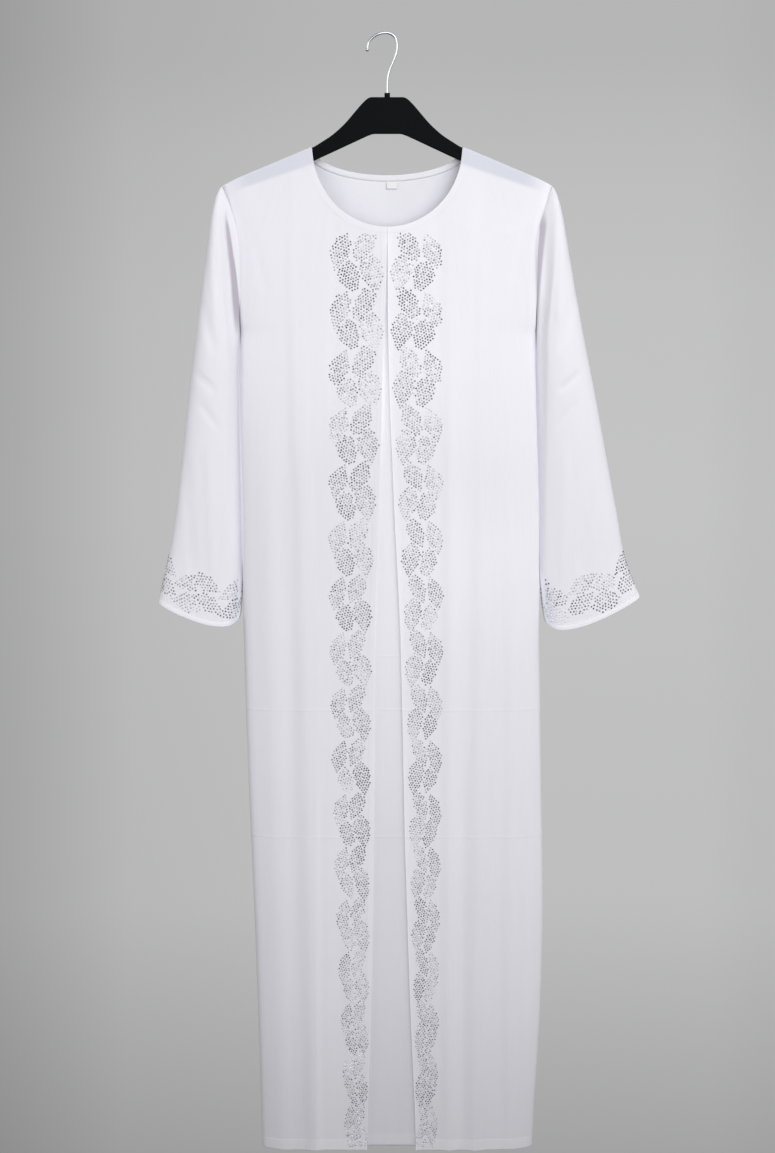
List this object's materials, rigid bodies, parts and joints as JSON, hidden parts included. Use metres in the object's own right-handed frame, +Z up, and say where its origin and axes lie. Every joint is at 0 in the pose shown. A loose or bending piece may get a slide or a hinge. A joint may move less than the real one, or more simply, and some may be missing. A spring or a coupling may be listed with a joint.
{
  "type": "open-front abaya on a hanger",
  "caption": "Full-length open-front robe with long sleeves, a panel behind the opening and stone borders, hung on a flat hanger with a wire hook",
  "frame": {"origin": "inside top of the hanger's hook, where a rail carries it", "axes": "+Z up, +X to the right as seen from the front, the front faces -Y"},
  "size_m": [0.6599, 0.1068, 1.5501],
  "materials": {
    "cloth": "white matte crepe with a faint lilac cast",
    "label": "smooth white woven tape",
    "hanger_plastic": "black satin plastic",
    "hook_wire": "bright chrome wire"
  },
  "bodies": {
    "root": {"front_outer_left": "cloth", "front_outer_right": "cloth", "front_inner": "cloth", "back": "cloth", "sleeve_left": "cloth", "sleeve_right": "cloth", "neck_facing_back": "cloth", "size_label": "label", "hanger_body": "hanger_plastic", "hanger_hook": "hook_wire"}
  },
  "joints": []
}
